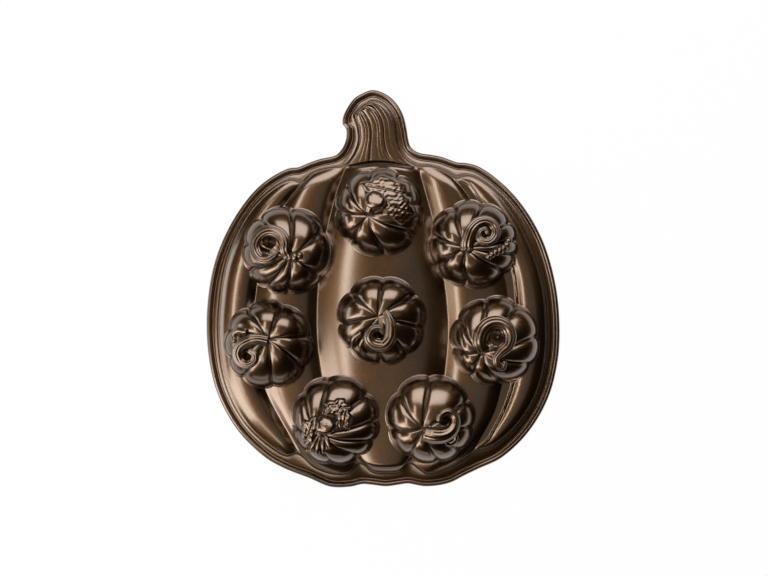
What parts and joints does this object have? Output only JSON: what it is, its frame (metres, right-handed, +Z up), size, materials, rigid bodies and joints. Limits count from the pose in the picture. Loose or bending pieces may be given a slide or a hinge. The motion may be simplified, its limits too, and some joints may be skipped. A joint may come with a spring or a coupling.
{
  "type": "cakelet pan",
  "caption": "Cast aluminium cakelet pan in the outline of a pumpkin, with small pumpkin-shaped cups, shown lying rim down with the cups' outsides up.",
  "frame": {"origin": "middle of the pan's outline, in the plane that the rim stands on", "axes": "+Z up, from the rim's underside towards the domed outsides of the cups; +Y from the pan's foot towards the handle; +X to the right seen from above"},
  "size_m": [0.2932, 0.33, 0.0453],
  "materials": {
    "cast_shell": "cast aluminium under a dark metallic bronze coating, satin, with a fine speckle"
  },
  "bodies": {
    "root": {"rim": "cast_shell", "handle": "cast_shell", "lobe_far_left": "cast_shell", "lobe_left_upper": "cast_shell", "lobe_left_lower": "cast_shell", "lobe_middle": "cast_shell", "lobe_right_upper": "cast_shell", "lobe_right_lower": "cast_shell", "lobe_far_right": "cast_shell", "cup_top": "cast_shell", "cup_top_right": "cast_shell", "cup_right": "cast_shell", "cup_bottom_right": "cast_shell", "cup_bottom_left": "cast_shell", "cup_left": "cast_shell", "cup_top_left": "cast_shell", "cup_centre": "cast_shell"}
  },
  "joints": []
}
